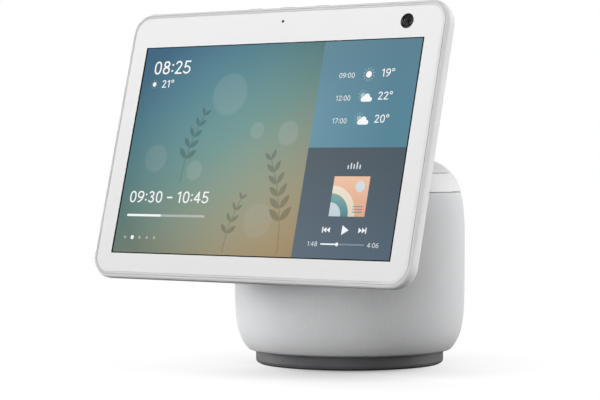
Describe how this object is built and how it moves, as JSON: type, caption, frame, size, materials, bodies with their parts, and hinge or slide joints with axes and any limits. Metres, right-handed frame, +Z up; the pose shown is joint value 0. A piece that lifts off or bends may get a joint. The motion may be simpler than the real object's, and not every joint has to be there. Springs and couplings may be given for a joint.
{
  "type": "smart display",
  "caption": "Smart display: a flat tilting screen on a motorised round speaker base with a knitted sleeve, a camera with a sliding shutter and press buttons on the top edge.",
  "frame": {"origin": "on the swivel axis, at the underside of the rubber foot", "axes": "+X to the right seen from the front, +Y to the back (the screen faces -Y), +Z up along the swivel axis"},
  "size_m": [0.251, 0.1884, 0.2288],
  "materials": {
    "rubber": "matte",
    "foot_plastic": "satin",
    "steel": "plain",
    "black_plastic": "matte",
    "fabric": "fine knit",
    "circuit_board": "solder mask",
    "sheet_metal": "plain",
    "bearing_plastic": "natural acetal",
    "brass": "machined",
    "white_plastic": "fine matte",
    "white_paint": "satin",
    "white_glass": "back-printed cover lens",
    "screen": "lit panel"
  },
  "bodies": {
    "base": {"rubber_foot": "rubber", "base_plate": "foot_plastic", "ballast": "steel", "base_screws": "steel", "post_screws": "steel", "grille_shell": "black_plastic", "fabric_sleeve": "fabric", "main_board": "circuit_board", "board_shield": "sheet_metal", "power_jack": "black_plastic", "jack_bezel": "black_plastic", "speaker_enclosure": "black_plastic", "woofer_gasket": "rubber", "woofer_frame": "black_plastic", "woofer_magnet": "steel", "woofer_surround": "rubber", "woofer_screws": "steel", "tweeter_left": "black_plastic", "tweeter_right": "black_plastic", "top_plate": "sheet_metal", "plate_screws": "steel", "bearing_bush": "bearing_plastic", "glide_ring": "bearing_plastic", "drive_motor": "steel", "motor_screws": "steel"},
    "swivel": {"turntable": "sheet_metal", "retaining_ring": "steel", "ring_gear": "bearing_plastic", "gear_screws": "steel", "band_ring": "white_plastic", "band_screws": "steel", "neck_arm": "white_paint", "neck_screws": "steel", "top_cap": "black_plastic", "cap_fabric": "fabric", "hinge_pin": "steel", "friction_washers": "steel", "hinge_nuts": "steel"},
    "display": {"rear_cover": "white_plastic", "front_glass": "white_glass", "lcd_panel": "screen", "mid_frame": "sheet_metal", "frame_screws": "steel", "hinge_bracket": "white_paint", "bracket_screws": "steel", "hinge_caps": "white_plastic", "display_board": "circuit_board", "display_shield": "sheet_metal", "camera_module": "black_plastic", "light_sensor": "black_plastic", "button_board": "circuit_board"},
    "pinion": {"motor_shaft": "steel", "drive_pinion": "brass"},
    "cone": {"woofer_cone": "black_plastic"},
    "volume_down": {"volume_down_button": "white_plastic"},
    "volume_up": {"volume_up_button": "white_plastic"},
    "mute": {"mute_button": "white_plastic"},
    "shutter": {"shutter_slider": "white_plastic"}
  },
  "joints": [
    {"name": "base_swivel", "type": "hinge", "parent": "base", "child": "swivel", "pos_m": [0, 0, 0.11], "axis": [0, 0, 1], "range_deg": [-175, 175]},
    {"name": "motor_pinion_spin", "type": "hinge", "parent": "base", "child": "pinion", "pos_m": [0, 0.0432, 0.106], "axis": [0, 0, 1], "range_deg": [-880, 880]},
    {"name": "screen_tilt", "type": "hinge", "parent": "swivel", "child": "display", "pos_m": [0, -0.077, 0.118], "axis": [-1, 0, 0], "range_deg": [-12, 30]},
    {"name": "woofer_stroke", "type": "slide", "parent": "base", "child": "cone", "axis": [0, -1, 0], "range_m": [-0.0025, 0.0025], "stiffness_N_per_m": 1500},
    {"name": "volume_down_press", "type": "slide", "parent": "display", "child": "volume_down", "axis": [0, -0.2568, -0.9665], "range_m": [0, 0.0006], "stiffness_N_per_m": 2500},
    {"name": "volume_up_press", "type": "slide", "parent": "display", "child": "volume_up", "axis": [0, -0.2568, -0.9665], "range_m": [0, 0.0006], "stiffness_N_per_m": 2500},
    {"name": "mute_press", "type": "slide", "parent": "display", "child": "mute", "axis": [0, -0.2568, -0.9665], "range_m": [0, 0.0006], "stiffness_N_per_m": 2500},
    {"name": "shutter_slide", "type": "slide", "parent": "display", "child": "shutter", "axis": [1, 0, 0], "range_m": [0, 0.009]}
  ],
  "couplings": [
    {"joint": "motor_pinion_spin", "follows": "base_swivel", "ratio": -5}
  ]
}
